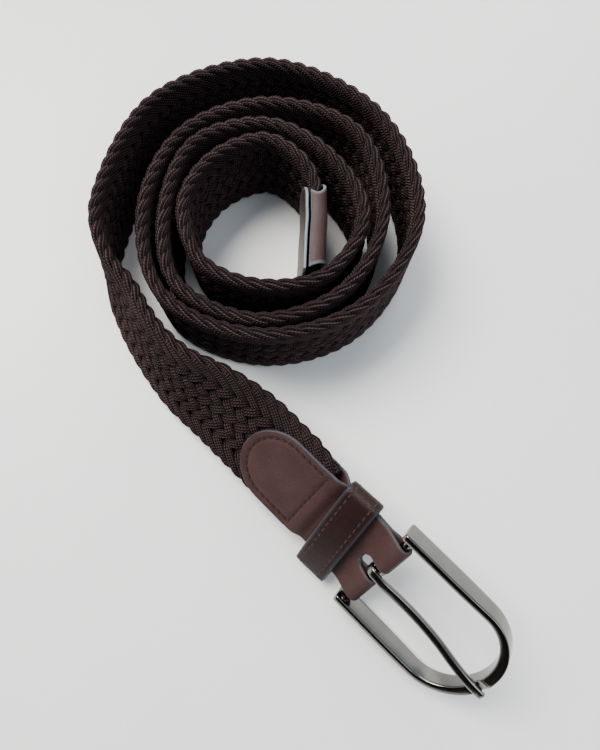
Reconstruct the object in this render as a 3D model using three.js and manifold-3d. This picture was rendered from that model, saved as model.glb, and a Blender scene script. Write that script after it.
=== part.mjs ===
// A braided belt laid down in a loose upright coil, with its tail and buckle beside the coil.
// Millimetres, +Z up. The belt stands on its long edge, and its tail leans over towards the buckle.
// The last stretch lies straight in one leaning frame: x runs towards the buckle's nose, y across
// the width and z out of the belt's outer face, with the middle of the buckle's bar at the origin.

import * as THREE from 'three';
import { mergeVertices } from 'three/addons/utils/BufferGeometryUtils.js';
import Module from 'manifold-3d';

const wasm = await Module();
wasm.setup();

// Braided strap
const strapWidth = 35;
const strapThickness = 4.4;
const stationStep = 5;
const roundSteps = 5;

// Coil
const coreRadius = 27;
const looseGap = 10;
const tipOffset = 16;
const tipLean = -4;

// Tail
const tailReach = 100;
const tailHeading = -42;
const tailLean = 47;
const straightRun = 44.8;
const strapDrop = 3.2;
const endTuck = 2.4;
const endTuckRun = 14;

// Leather tip
const tipLength = 22;
const tipRound = 11;
const tipLeather = 1.1;
const tipClearance = 0.4;
const tipInset = 1.5;
const tuckRun = 7;
const endSlant = 0.5;
const backingExtra = 2.6;

// Leather tab folded round the buckle's bar
const tabLeather = 1.2;
const tabWidth = 29;
const tabLow = 0.7;
const tabLength = 58;
const neckLength = 28;
const neckLift = 0.7;
const neckTilt = 9.5;
const slotLength = 6.3;
const slotClearance = 1.3;
const seatGap = 0.3;

// Keeper loop
const keeperWidth = 12;
const keeperLeather = 1.4;
const keeperInside = 35.8;
const keeperPlace = 16.3;
const keeperBackGap = 0.4;
const keeperFrontGap = 1.2;
const keeperBow = 1.5;
const keeperCorner = 1.9;
const keeperSkew = 6;
const keeperLow = 2.6;

// Buckle
const buckleWidth = 39.2;
const buckleReach = 46;
const noseLength = 17;
const armTail = 3;
const armWall = 2.4;
const armDepth = 7.2;
const noseWall = 3.4;
const noseDepth = 5.4;
const frameChamfer = 0.6;
const barDiameter = 3;
const barSides = 16;
const notchWidth = 4;
const notchDepth = 0.8;

// Prong
const prongWidth = 3;
const prongThickness = 2;
const prongLoop = 1.2;
const prongYaw = 2.8;
const prongSide = 0.8;

const halfThickness = strapThickness / 2;
const edgeReach = strapWidth / 2 - halfThickness;
const barRadius = barDiameter / 2;
const loopRadius = barRadius + seatGap;
const degrees = Math.PI / 180;

// Eighths of a turn, counted from the tip's side and counterclockwise seen from above.
// first is the first turn's radius as a share of coreRadius. second, third and outer are the
// gaps that the later turns leave to the turn inside them, as shares of looseGap.
const coilTable = [
  { eighth: 0, first: 0.59, second: 1.36, third: 0.2, outer: 0.73 },
  { eighth: 1, first: 0.77, second: 0.53, third: 0.89, outer: 0.58 },
  { eighth: 2, first: 0.98, second: 0.16, third: 0.38, outer: 1.14 },
  { eighth: 3, first: 0.95, second: 0.42, third: 0.12, outer: 1.23 },
  { eighth: 4, first: 0.98, second: 0.15, third: 0.26, outer: 1.14 },
  { eighth: 5, first: 1.0, second: 0.65, third: 0.14 },
  { eighth: 6, first: 1.0, second: 0.72, third: 0.06 },
  { eighth: 7, first: 1.155, second: 0.34, third: 0.33 },
];

// The tail's lower edge, from the end of the coil. right and near are shares of tailReach, and
// lift is a share of the height that the strap's end hangs clear of the floor.
const tailTable = [
  { right: -0.005, near: 0.204, lean: 12, lift: 0 },
  { right: 0.046, near: 0.329, lean: 20, lift: 0 },
  { right: 0.096, near: 0.416, lean: 21, lift: 0 },
  { right: 0.168, near: 0.517, lean: 23, lift: 0.1 },
  { right: 0.255, near: 0.617, lean: 29, lift: 0.5 },
  { right: 0.369, near: 0.715, lean: 40, lift: 0.9 },
];

// The prong's middle line in side view: along is a share of buckleReach, and rise is a share of
// the height from the bar's middle to the line where the prong lies on the nose.
const prongTable = [
  { along: 0.09, rise: 0.56 },
  { along: 0.22, rise: 0.4 },
  { along: 0.4, rise: 0.32 },
  { along: 0.58, rise: 0.46 },
  { along: 0.74, rise: 0.82 },
  { along: 0.86, rise: 1 },
];

// Turns a closed THREE geometry into a solid for joining and cutting.
function solid(geometry) {
  const bare = geometry.clone();
  bare.deleteAttribute('normal');
  bare.deleteAttribute('uv');
  const merged = mergeVertices(bare, 1e-4);
  return new wasm.Manifold(new wasm.Mesh({
    numProp: 3,
    vertProperties: new Float32Array(merged.attributes.position.array),
    triVerts: new Uint32Array(merged.index.array),
  }));
}

function geometryOf(manifold) {
  const mesh = manifold.getMesh();
  const geometry = new THREE.BufferGeometry();
  geometry.setAttribute('position', new THREE.BufferAttribute(mesh.vertProperties, 3));
  geometry.setIndex(new THREE.BufferAttribute(mesh.triVerts, 1));
  geometry.computeVertexNormals();
  return geometry;
}

// Skins a row of rings with the same even number of points, each counterclockwise as seen from
// the last ring, and closes the two ends with a strip between the ring's two halves.
function loft(rings) {
  const count = rings[0].length;
  const index = [];
  for (let ring = 0; ring < rings.length - 1; ring += 1) {
    for (let side = 0; side < count; side += 1) {
      const here = ring * count + side;
      const next = ring * count + ((side + 1) % count);
      index.push(here, next, next + count);
      index.push(here, next + count, here + count);
    }
  }
  const last = (rings.length - 1) * count;
  for (let side = 0; side < count / 2 - 1; side += 1) {
    const across = count - 1 - side;
    index.push(side, across, across - 1);
    index.push(side, across - 1, side + 1);
    index.push(last + side, last + across - 1, last + across);
    index.push(last + side, last + side + 1, last + across - 1);
  }
  const geometry = new THREE.BufferGeometry();
  const positions = rings.flat().flatMap((point) => point.toArray());
  geometry.setAttribute('position', new THREE.Float32BufferAttribute(positions, 3));
  geometry.setIndex(index);
  geometry.computeVertexNormals();
  return geometry;
}

// The neck's middle line in the end frame: it is level where its layers are first pressed
// together and has its full tilt where they part again round the bar.
const neckStart = -neckLength + seatGap + 3 * tabLeather;
const neckEnd = -slotLength * Math.cos(neckTilt * degrees);
const neckFrom = neckLift - strapDrop;
const neckRise = -slotLength * Math.sin(neckTilt * degrees) - neckFrom;

function neckAt(x) {
  const share = (x - neckStart) / (neckEnd - neckStart);
  return {
    middle: neckFrom + neckRise * share ** 2,
    slope: Math.atan(2 * neckRise * share / (neckEnd - neckStart)),
  };
}

// How high the bar's middle lies when the lower arm's back edge or the keeper's lower end rests
// on the floor, and how much the strap's lower edge is lifted where the tab holds it.
const steep = Math.cos(tailLean * degrees);
const level = Math.sin(tailLean * degrees);
const keeperBack = tabLeather + keeperBackGap + keeperLeather;
const armRest = buckleWidth / 2 * steep + armDepth / 2 * level;
const keeperRest = (keeperInside / 2 + keeperLeather + keeperLow) * steep - (neckAt(-keeperPlace).middle - keeperBack / 2) * level;
const barHeight = Math.max(armRest, keeperRest);
const restingMiddle = halfThickness + edgeReach * steep;
const endLift = barHeight - strapDrop * level - restingMiddle;

// Radius of the strap's middle line on one eighth of the coil, for turn 0 to 3.
function coilRadius(row, turn) {
  const gaps = ['second', 'third', 'outer'].slice(0, turn);
  return gaps.reduce((sum, gap) => sum + strapThickness + looseGap * row[gap], coreRadius * row.first);
}

// The strap's lower edge as rows of plan place, lift and lean, from the tip to the tab.
function lowerEdgeRows() {
  const rows = [];
  const wallInside = coilRadius(coilTable[7], 0) - halfThickness - tipClearance;
  const topShift = -2 * edgeReach * Math.sin(tipLean * degrees);
  const tipSide = tipOffset + topShift + halfThickness + seatGap + tipLeather;
  const tipEnd = Math.sqrt(wallInside ** 2 - tipSide ** 2);
  for (const share of [1, 0.5, 0]) {
    rows.push({ x: tipOffset, y: -tipEnd * share, lift: 0, lean: tipLean });
  }
  for (let turn = 0; turn < 4; turn += 1) {
    for (const row of coilTable) {
      const insideTip = turn === 0 && row.eighth === 0;
      const pastCoil = turn === 3 && row.eighth > 4;
      if (insideTip || pastCoil) continue;
      const angle = row.eighth * Math.PI / 4;
      const radius = coilRadius(row, turn);
      const lean = turn === 0 && row.eighth === 1 ? tipLean / 2 : 0;
      rows.push({ x: radius * Math.cos(angle), y: radius * Math.sin(angle), lift: 0, lean });
    }
  }
  const coilEnd = rows.at(-1);
  for (const row of tailTable) {
    rows.push({
      x: coilEnd.x + tailReach * row.right,
      y: coilEnd.y - tailReach * row.near,
      lift: endLift * row.lift,
      lean: row.lean,
    });
  }
  const bend = rows.at(-1);
  for (const share of [0.3, 0.65, 1]) {
    rows.push({
      x: bend.x + straightRun * share * Math.cos(tailHeading * degrees),
      y: bend.y + straightRun * share * Math.sin(tailHeading * degrees),
      lift: endLift,
      lean: tailLean,
    });
  }
  return rows;
}

const edgeRows = lowerEdgeRows();
const edgeCurve = new THREE.CatmullRomCurve3(edgeRows.map((row) => new THREE.Vector3(row.x, row.y, row.lift)));
const leanCurve = new THREE.SplineCurve(edgeRows.map((row, at) => new THREE.Vector2(at, row.lean)));

// The strap's middle line and axes at a share of its rows: run along it, up across its width and
// out of its outer face.
function axesAtShare(share) {
  const run = edgeCurve.getTangent(share).setZ(0).normalize();
  const lean = leanCurve.getPoint(share).y * degrees;
  const aside = new THREE.Vector3().crossVectors(run, new THREE.Vector3(0, 0, 1));
  const up = new THREE.Vector3(0, 0, Math.cos(lean)).addScaledVector(aside, -Math.sin(lean));
  const out = new THREE.Vector3().crossVectors(run, up);
  const middle = edgeCurve.getPoint(share).addScaledVector(up, edgeReach);
  middle.z += halfThickness;
  return { middle, run, up, out };
}

const fineSteps = 3000;
const lengths = [0];
for (let at = 1; at <= fineSteps; at += 1) {
  const last = axesAtShare((at - 1) / fineSteps).middle;
  lengths.push(lengths[at - 1] + axesAtShare(at / fineSteps).middle.distanceTo(last));
}
const strapLength = lengths[fineSteps];

// The same, at a distance along the middle line from the tip.
function axesAt(along) {
  const wanted = Math.min(Math.max(along, 0), strapLength);
  let low = 0;
  let high = fineSteps;
  while (high - low > 1) {
    const half = Math.floor((low + high) / 2);
    if (lengths[half] <= wanted) low = half;
    else high = half;
  }
  const part = (wanted - lengths[low]) / (lengths[high] - lengths[low]);
  return axesAtShare((low + part) / fineSteps);
}

function onStrap(axes, across, height) {
  return axes.middle.clone().addScaledVector(axes.up, across).addScaledVector(axes.out, height);
}

const tuckedReach = edgeReach - tipLeather - seatGap;
const tipInnerRadius = halfThickness + seatGap;

// How far the tip's leather reaches along the strap at a place across its width.
function tipReachAt(across, halfWidth) {
  const share = Math.min(1, Math.abs(across) / halfWidth);
  return tipLength + tipRound * Math.sqrt(1 - share ** 2);
}

// The strap stays tucked in until the wrap has left its long edges.
const tuckEnd = tipReachAt(tuckedReach, tuckedReach + tipInnerRadius) + stationStep;

// The strap has straight faces and round long edges. It is tucked in where the tip wraps it, and
// it narrows to its other end, between the layers of the tab.
function braidedStrap() {
  const stops = Math.round((strapLength - tipInset) / stationStep);
  const rings = [];
  for (let stop = 0; stop <= stops; stop += 1) {
    const along = tipInset + (strapLength - tipInset) * stop / stops;
    const loose = THREE.MathUtils.smoothstep(along, tuckEnd, tuckEnd + tuckRun);
    const held = THREE.MathUtils.smoothstep(along, strapLength - endTuckRun, strapLength);
    const reach = edgeReach - (tipLeather + seatGap) * (1 - loose) - endTuck * held;
    const axes = axesAt(along);
    const ring = [];
    for (const side of [1, -1]) {
      for (let step = 0; step <= roundSteps; step += 1) {
        const angle = Math.PI * (step / roundSteps - 0.5);
        const across = side * (reach + halfThickness * Math.cos(angle));
        ring.push(onStrap(axes, across, side * halfThickness * Math.sin(angle)));
      }
    }
    rings.push(ring);
  }
  return loft(rings);
}

// A leather wall that follows the strap. Each column gives the wall's inner point on the section,
// its outward direction and the stretch of strap that it covers.
function leatherWall(columns, wall, steps) {
  const rings = [];
  for (let step = 0; step <= steps; step += 1) {
    const ring = [];
    const inner = [];
    for (const column of columns) {
      const axes = axesAt(column.from + (column.to - column.from) * step / steps);
      const across = column.across + wall * column.outAcross;
      const height = column.height + wall * column.outHeight;
      ring.push(onStrap(axes, across, height));
      inner.unshift(onStrap(axes, column.across, column.height));
    }
    rings.push([...ring, ...inner]);
  }
  return loft(rings);
}

const tipSteps = 9;
const tipFaceColumns = 12;
const tipEdgeColumns = 5;
const tipEdgeFrom = -40;
const tipEdgeTo = 90;

// The outer leather covers the outer face and turns round both long edges. Its free end is cut on
// a slant, as the coil's wall runs past it.
function tipWrap() {
  const columns = [];
  const reachEnd = tuckedReach + tipInnerRadius;
  const edge = (side, step) => {
    const angle = (tipEdgeFrom + (tipEdgeTo - tipEdgeFrom) * step / tipEdgeColumns) * degrees;
    const outAcross = side * Math.cos(angle);
    const outHeight = Math.sin(angle);
    const across = side * tuckedReach + tipInnerRadius * outAcross;
    const height = tipInnerRadius * outHeight;
    const from = endSlant * (height - tipInnerRadius);
    columns.push({ across, height, outAcross, outHeight, from, to: tipReachAt(across, reachEnd) });
  };
  for (let step = 0; step < tipEdgeColumns; step += 1) edge(1, step);
  for (let step = 0; step <= tipFaceColumns; step += 1) {
    const across = tuckedReach * Math.cos(Math.PI * step / tipFaceColumns);
    const to = tipReachAt(across, reachEnd);
    columns.push({ across, height: tipInnerRadius, outAcross: 0, outHeight: 1, from: 0, to });
  }
  for (let step = tipEdgeColumns - 1; step >= 0; step -= 1) edge(-1, step);
  return leatherWall(columns, tipLeather, tipSteps);
}

// The backing is a flat piece on the inner face, as wide as the wrap's two turned edges.
function tipBacking() {
  const wrapRadius = tipInnerRadius + tipLeather;
  const halfWidth = tuckedReach + wrapRadius * Math.cos(tipEdgeFrom * degrees);
  const columns = [];
  for (let step = 0; step <= tipFaceColumns; step += 1) {
    const across = -halfWidth * Math.cos(Math.PI * step / tipFaceColumns);
    const to = tipReachAt(across, halfWidth);
    columns.push({
      across,
      height: -tipInnerRadius - seatGap,
      outAcross: 0,
      outHeight: -1,
      from: -backingExtra,
      to,
    });
  }
  return leatherWall(columns, tipLeather, tipSteps);
}

// One strip of leather folded round the bar: two layers round the end of the braid, pressed
// together at the neck and parted again round the bar. Side view, x along and y out of the face.
function tabProfile() {
  const tilt = neckTilt * degrees;
  const along = new THREE.Vector2(Math.cos(tilt), Math.sin(tilt));
  const across = new THREE.Vector2(-Math.sin(tilt), Math.cos(tilt));
  const join = new THREE.Vector2(neckEnd, neckFrom + neckRise);
  const pocket = halfThickness + seatGap;
  const outer = pocket + tabLeather;
  const fold = loopRadius + tabLeather;
  const shoulder = -neckLength + seatGap + tabLeather;
  const bend = (neckStart + neckEnd) / 2;
  const frontJoin = join.clone().addScaledVector(across, tabLeather);
  const backJoin = join.clone().addScaledVector(across, -tabLeather);
  const shape = new THREE.Shape();
  shape.moveTo(-tabLength, -strapDrop + outer);
  shape.lineTo(-tabLength, -strapDrop + pocket);
  shape.lineTo(-neckLength + seatGap, -strapDrop + pocket);
  shape.lineTo(-neckLength + seatGap, -strapDrop - pocket);
  shape.lineTo(-tabLength, -strapDrop - pocket);
  shape.lineTo(-tabLength, -strapDrop - outer);
  shape.lineTo(shoulder, -strapDrop - outer);
  shape.lineTo(neckStart, neckFrom - tabLeather);
  shape.quadraticCurveTo(bend, neckFrom - tabLeather, backJoin.x, backJoin.y);
  shape.lineTo(-fold * across.x, -fold * across.y);
  shape.absarc(0, 0, fold, tilt - Math.PI / 2, tilt + Math.PI / 2, false);
  shape.lineTo(frontJoin.x, frontJoin.y);
  shape.quadraticCurveTo(bend, neckFrom + tabLeather, neckStart, neckFrom + tabLeather);
  shape.lineTo(shoulder, -strapDrop + outer);
  shape.closePath();
  const parting = join.clone().addScaledVector(along, tabLeather);
  const hole = new THREE.Path();
  hole.moveTo(parting.x, parting.y);
  hole.lineTo(loopRadius * across.x, loopRadius * across.y);
  hole.absarc(0, 0, loopRadius, tilt + Math.PI / 2, tilt - Math.PI / 2, true);
  hole.closePath();
  shape.holes.push(hole);
  return shape;
}

const tabCurveSteps = 6;
const passThrough = 20;

function buckleTab() {
  const strip = new THREE.ExtrudeGeometry(tabProfile(), {
    depth: tabWidth,
    bevelEnabled: false,
    curveSegments: tabCurveSteps,
  });
  strip.rotateX(Math.PI / 2);
  strip.translate(0, tabWidth / 2 - tabLow, 0);
  const half = tabWidth / 2;
  const outline = new THREE.Shape();
  outline.moveTo(half, -half);
  outline.lineTo(half, half);
  outline.lineTo(half - tabLength, half);
  outline.absarc(half - tabLength, 0, half, Math.PI / 2, Math.PI * 1.5, false);
  outline.closePath();
  const plan = new THREE.ExtrudeGeometry(outline, {
    depth: passThrough,
    bevelEnabled: false,
    curveSegments: 2 * tabCurveSteps,
  });
  plan.translate(0, -tabLow, -passThrough / 2);
  const slotWidth = prongWidth + 2 * slotClearance;
  const slot = new THREE.BoxGeometry(slotLength + half, slotWidth, passThrough);
  slot.translate((half - slotLength) / 2, -prongSide, 0);
  return geometryOf(solid(strip).intersect(solid(plan)).subtract(solid(slot)));
}

// A closed band of leather that bows away from the tab on its outer side.
function keeperLoop() {
  const back = -tabLeather - keeperBackGap;
  const front = tabLeather + keeperFrontGap;
  const half = keeperInside / 2;
  const ring = (path, grow) => {
    const corner = Math.min(keeperCorner, (front - back) / 2) + grow;
    const side = half + grow;
    const low = back - grow;
    const high = front + grow;
    path.moveTo(side - corner, low);
    path.absarc(side - corner, low + corner, corner, -Math.PI / 2, 0, false);
    path.lineTo(side, high - corner);
    path.absarc(side - corner, high - corner, corner, 0, Math.PI / 2, false);
    path.quadraticCurveTo(0, high + 2 * keeperBow, corner - side, high);
    path.absarc(corner - side, high - corner, corner, Math.PI / 2, Math.PI, false);
    path.lineTo(-side, low + corner);
    path.absarc(corner - side, low + corner, corner, Math.PI, Math.PI * 1.5, false);
    path.closePath();
  };
  const shape = new THREE.Shape();
  ring(shape, keeperLeather);
  const opening = new THREE.Path();
  ring(opening, 0);
  shape.holes.push(opening);
  const band = new THREE.ExtrudeGeometry(shape, { depth: keeperWidth, bevelEnabled: false, curveSegments: 5 });
  band.translate(0, 0, -keeperWidth / 2);
  band.rotateY(Math.PI / 2);
  band.rotateX(Math.PI / 2);
  return band;
}

// One section of the frame between an inner and an outer place, with all four edges chamfered.
function frameRing(inner, outer, depth) {
  const aside = outer.clone().sub(inner);
  const wall = aside.length();
  aside.normalize();
  const half = depth / 2;
  const cut = frameChamfer;
  const corners = [
    [-half, cut], [-half + cut, 0], [half - cut, 0], [half, cut],
    [half, wall - cut], [half - cut, wall], [-half + cut, wall], [-half, wall - cut],
  ];
  return corners.map(([height, far]) => inner.clone().addScaledVector(aside, far).setZ(height));
}

// A long U with a round nose. Its two arms are joined by the bar.
function buckleFrame() {
  const half = buckleWidth / 2;
  const noseStart = buckleReach - noseLength;
  const armStops = 4;
  const noseStops = 16;
  const rings = [];
  const add = (side, x) => {
    const depth = depthAt(x);
    const inner = new THREE.Vector3(x, side * (half - armWall), 0);
    rings.push(frameRing(inner, new THREE.Vector3(x, side * half, 0), depth));
  };
  const depthAt = (x) => {
    const share = THREE.MathUtils.smoothstep(x, noseStart / 2, buckleReach);
    return armDepth + (noseDepth - armDepth) * share;
  };
  for (let stop = 0; stop < armStops; stop += 1) {
    add(-1, -armTail + (noseStart + armTail) * stop / armStops);
  }
  for (let stop = 0; stop <= noseStops; stop += 1) {
    const angle = Math.PI * (stop / noseStops - 0.5);
    const outer = new THREE.Vector3(noseLength * Math.cos(angle), half * Math.sin(angle), 0);
    const inner = new THREE.Vector3(
      (noseLength - noseWall) * Math.cos(angle),
      (half - armWall) * Math.sin(angle),
      0,
    );
    outer.x += noseStart;
    inner.x += noseStart;
    rings.push(frameRing(inner, outer, depthAt(outer.x)));
  }
  for (let stop = armStops - 1; stop >= 0; stop -= 1) {
    add(1, -armTail + (noseStart + armTail) * stop / armStops);
  }
  const bar = new THREE.CylinderGeometry(barRadius, barRadius, buckleWidth - armWall, barSides);
  const notch = new THREE.BoxGeometry(3 * noseWall, notchWidth, 2 * notchDepth);
  notch.translate(buckleReach - noseWall / 2, 0, noseDepth / 2);
  return geometryOf(solid(loft(rings)).add(solid(bar)).subtract(solid(notch)));
}

// A loop round the bar and a bent tongue that lies on the nose, a little to one side.
function prong() {
  const landing = noseDepth / 2 + seatGap + prongThickness / 2;
  const crown = loopRadius + prongLoop / 2;
  const side = -Math.tan(prongYaw * degrees);
  const stops = [
    new THREE.Vector3(0, 0, crown),
    ...prongTable.map((row) => new THREE.Vector3(row.along * buckleReach, 0, row.rise * landing)),
    new THREE.Vector3(buckleReach, 0, landing),
  ];
  for (const stop of stops) stop.y = side * stop.x - prongSide;
  const line = new THREE.CatmullRomCurve3(stops);
  const steps = 26;
  const rings = [];
  for (let step = 0; step <= steps; step += 1) {
    const middle = line.getPoint(step / steps);
    const run = line.getTangent(step / steps);
    const left = new THREE.Vector3(0, 0, 1).cross(run).normalize();
    const up = new THREE.Vector3().crossVectors(run, left);
    const swell = THREE.MathUtils.smoothstep(middle.x, 0, loopRadius + 2 * prongLoop);
    const high = (prongLoop + (prongThickness - prongLoop) * swell) / 2;
    const wide = prongWidth / 2;
    const cut = high / 2;
    const corners = [
      [wide, -high + cut], [wide, high - cut], [wide - cut, high], [cut - wide, high],
      [-wide, high - cut], [-wide, cut - high], [cut - wide, -high], [wide - cut, -high],
    ];
    rings.push(corners.map(([aside, rise]) => (
      middle.clone().addScaledVector(left, aside).addScaledVector(up, rise)
    )));
  }
  const eye = new THREE.Shape();
  eye.absarc(0, 0, loopRadius + prongLoop, 0, 2 * Math.PI, false);
  const bore = new THREE.Path();
  bore.absarc(0, 0, loopRadius, 0, 2 * Math.PI, true);
  eye.holes.push(bore);
  const loop = new THREE.ExtrudeGeometry(eye, { depth: prongWidth, bevelEnabled: false, curveSegments: 10 });
  loop.translate(0, 0, -prongWidth / 2);
  loop.rotateX(Math.PI / 2);
  loop.translate(0, -prongSide, 0);
  return geometryOf(solid(loft(rings)).add(solid(loop)));
}

const finishes = {
  braid: { color: 0x33272a, roughness: 0.85, metalness: 0 },
  leather: { color: 0x5d4443, roughness: 0.55, metalness: 0 },
  keeper: { color: 0x3d292b, roughness: 0.42, metalness: 0 },
  metal: { color: 0x8f8d88, roughness: 0.25, metalness: 1 },
};

function piece(name, geometry, finish) {
  const mesh = new THREE.Mesh(geometry, new THREE.MeshStandardMaterial(finishes[finish]));
  mesh.name = name;
  return mesh;
}

// The leaning frame of the belt's last stretch, with the bar at its origin.
const endAxes = axesAt(strapLength);
const endFrame = new THREE.Group();
endFrame.quaternion.setFromRotationMatrix(
  new THREE.Matrix4().makeBasis(endAxes.run, endAxes.up, endAxes.out),
);
endFrame.position.copy(endAxes.middle)
  .addScaledVector(endAxes.run, neckLength)
  .addScaledVector(endAxes.out, strapDrop);

// The keeper has slid down the neck's width and is turned a little, as a loose loop is.
const keeper = piece('keeper_loop', keeperLoop(), 'keeper');
const neck = neckAt(-keeperPlace);
keeper.position.set(-keeperPlace, -keeperLow, neck.middle);
keeper.rotation.set(0, -neck.slope, keeperSkew * degrees, 'ZYX');

endFrame.add(
  piece('buckle_tab', buckleTab(), 'leather'),
  keeper,
  piece('buckle_frame', buckleFrame(), 'metal'),
  piece('prong', prong(), 'metal'),
);

const belt = new THREE.Group();
belt.add(
  piece('braided_strap', braidedStrap(), 'braid'),
  piece('tip_wrap', tipWrap(), 'leather'),
  piece('tip_backing', tipBacking(), 'leather'),
  endFrame,
);

// The origin lies on the floor under the middle of the whole belt.
belt.updateMatrixWorld(true);
const box = new THREE.Box3().setFromObject(belt, true);
const centre = box.getCenter(new THREE.Vector3());
belt.position.set(-centre.x, -centre.y, -box.min.z);

const group = new THREE.Group();
group.add(belt);

export default group;
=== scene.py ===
import math

import bmesh
import bpy
import numpy as np
from mathutils import Matrix, Vector


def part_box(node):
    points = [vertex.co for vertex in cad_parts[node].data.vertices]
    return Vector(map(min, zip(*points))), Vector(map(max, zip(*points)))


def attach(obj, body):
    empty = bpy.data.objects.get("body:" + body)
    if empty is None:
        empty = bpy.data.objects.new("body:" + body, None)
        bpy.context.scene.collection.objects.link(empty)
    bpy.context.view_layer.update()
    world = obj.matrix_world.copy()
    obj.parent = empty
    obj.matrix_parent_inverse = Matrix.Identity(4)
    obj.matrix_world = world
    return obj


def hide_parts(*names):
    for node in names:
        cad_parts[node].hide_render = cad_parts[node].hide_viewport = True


# The looks of a braided belt: plaited cords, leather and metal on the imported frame.
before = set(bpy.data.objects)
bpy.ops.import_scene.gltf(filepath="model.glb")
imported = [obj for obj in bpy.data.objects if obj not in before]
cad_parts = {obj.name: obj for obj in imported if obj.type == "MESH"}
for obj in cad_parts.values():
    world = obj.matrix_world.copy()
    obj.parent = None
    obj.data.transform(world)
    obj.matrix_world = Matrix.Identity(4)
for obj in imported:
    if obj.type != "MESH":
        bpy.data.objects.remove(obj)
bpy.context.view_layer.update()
print("stage: frame loaded")

# Sizes in millimetres, the same as the solids have.
strap = {"width": 35.0, "thickness": 4.4, "stationStep": 5.0, "roundSteps": 5}
coil = {"coreRadius": 27.0, "looseGap": 10.0, "tipOffset": 16.0, "tipLean": -4.0}
tail = {"reach": 100.0, "heading": -42.0, "lean": 47.0, "straightRun": 44.8, "strapDrop": 3.2,
        "endTuck": 2.4, "endTuckRun": 14.0}
tip = {"length": 22.0, "round": 11.0, "leather": 1.1, "clearance": 0.4, "inset": 1.5, "tuckRun": 7.0,
       "backingExtra": 2.6, "endSlant": 0.5, "turnIn": 40}
tab = {"leather": 1.2, "width": 29.0, "low": 0.7, "length": 58.0, "neckLength": 28.0, "neckLift": 0.7,
       "neckTilt": 9.5, "slotLength": 6.3, "slotClearance": 1.3}
keeper = {"width": 12.0, "leather": 1.4, "inside": 35.8, "place": 16.3, "backGap": 0.4, "frontGap": 1.2,
          "bow": 1.5, "corner": 1.9, "skew": 6.0, "low": 2.6}
buckle = {"width": 39.2, "reach": 46.0, "nose": 17.0, "armTail": 3.0, "armWall": 2.4, "armDepth": 7.2,
          "noseWall": 3.4, "noseDepth": 5.4, "bar": 3.0, "notchSide": 2.9, "notchHalf": 2.1,
          "notchDepth": 0.8}
prong = {"width": 3.0, "thickness": 2.0, "loop": 1.2, "yaw": 2.8, "side": 0.8}
seatGap = 0.3
millimetre = 0.001

halfThickness = strap["thickness"] / 2
edgeReach = strap["width"] / 2 - halfThickness
loopRadius = buckle["bar"] / 2 + seatGap

# Each eighth of a turn: the first turn's radius and the gaps of the later turns.
coilTable = [
    (0, 0.59, 1.36, 0.2, 0.73), (1, 0.77, 0.53, 0.89, 0.58), (2, 0.98, 0.16, 0.38, 1.14),
    (3, 0.95, 0.42, 0.12, 1.23), (4, 0.98, 0.15, 0.26, 1.14), (5, 1.0, 0.65, 0.14, 0.0),
    (6, 1.0, 0.72, 0.06, 0.0), (7, 1.155, 0.34, 0.33, 0.0),
]
# The tail's lower edge: right, near, lean and lift.
tailTable = [
    (-0.005, 0.204, 12, 0), (0.046, 0.329, 20, 0), (0.096, 0.416, 21, 0), (0.168, 0.517, 23, 0.1),
    (0.255, 0.617, 29, 0.5), (0.369, 0.715, 40, 0.9),
]
# The prong's middle line: along and rise.
prongTable = [(0.09, 0.56), (0.22, 0.4), (0.4, 0.32), (0.58, 0.46), (0.74, 0.82), (0.86, 1.0)]

leanAngle = math.radians(tail["lean"])
neckStart = -tab["neckLength"] + seatGap + 3 * tab["leather"]
neckEnd = -tab["slotLength"] * math.cos(math.radians(tab["neckTilt"]))
neckFrom = tab["neckLift"] - tail["strapDrop"]
neckRise = -tab["slotLength"] * math.sin(math.radians(tab["neckTilt"])) - neckFrom


def neckAt(x):
    # The neck's middle line: a parabola from its pressed start to its tilted end.
    share = (x - neckStart) / (neckEnd - neckStart)
    return neckFrom + neckRise * share ** 2, math.atan(2 * neckRise * share / (neckEnd - neckStart))


keeperBack = tab["leather"] + keeper["backGap"] + keeper["leather"]
armRest = buckle["width"] / 2 * math.cos(leanAngle) + buckle["armDepth"] / 2 * math.sin(leanAngle)
keeperRest = (keeper["inside"] / 2 + keeper["leather"] + keeper["low"]) * math.cos(leanAngle) \
    - (neckAt(-keeper["place"])[0] - keeperBack / 2) * math.sin(leanAngle)
barHeight = max(armRest, keeperRest)
endLift = barHeight - tail["strapDrop"] * math.sin(leanAngle) - halfThickness \
    - edgeReach * math.cos(leanAngle)


def coilRadius(row, turn):
    # The core radius times the row's share, plus one thickness and one gap for each later turn.
    gaps = (strap["thickness"] + coil["looseGap"] * gap for gap in row[2:2 + turn])
    return coil["coreRadius"] * row[1] + sum(gaps)


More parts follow.
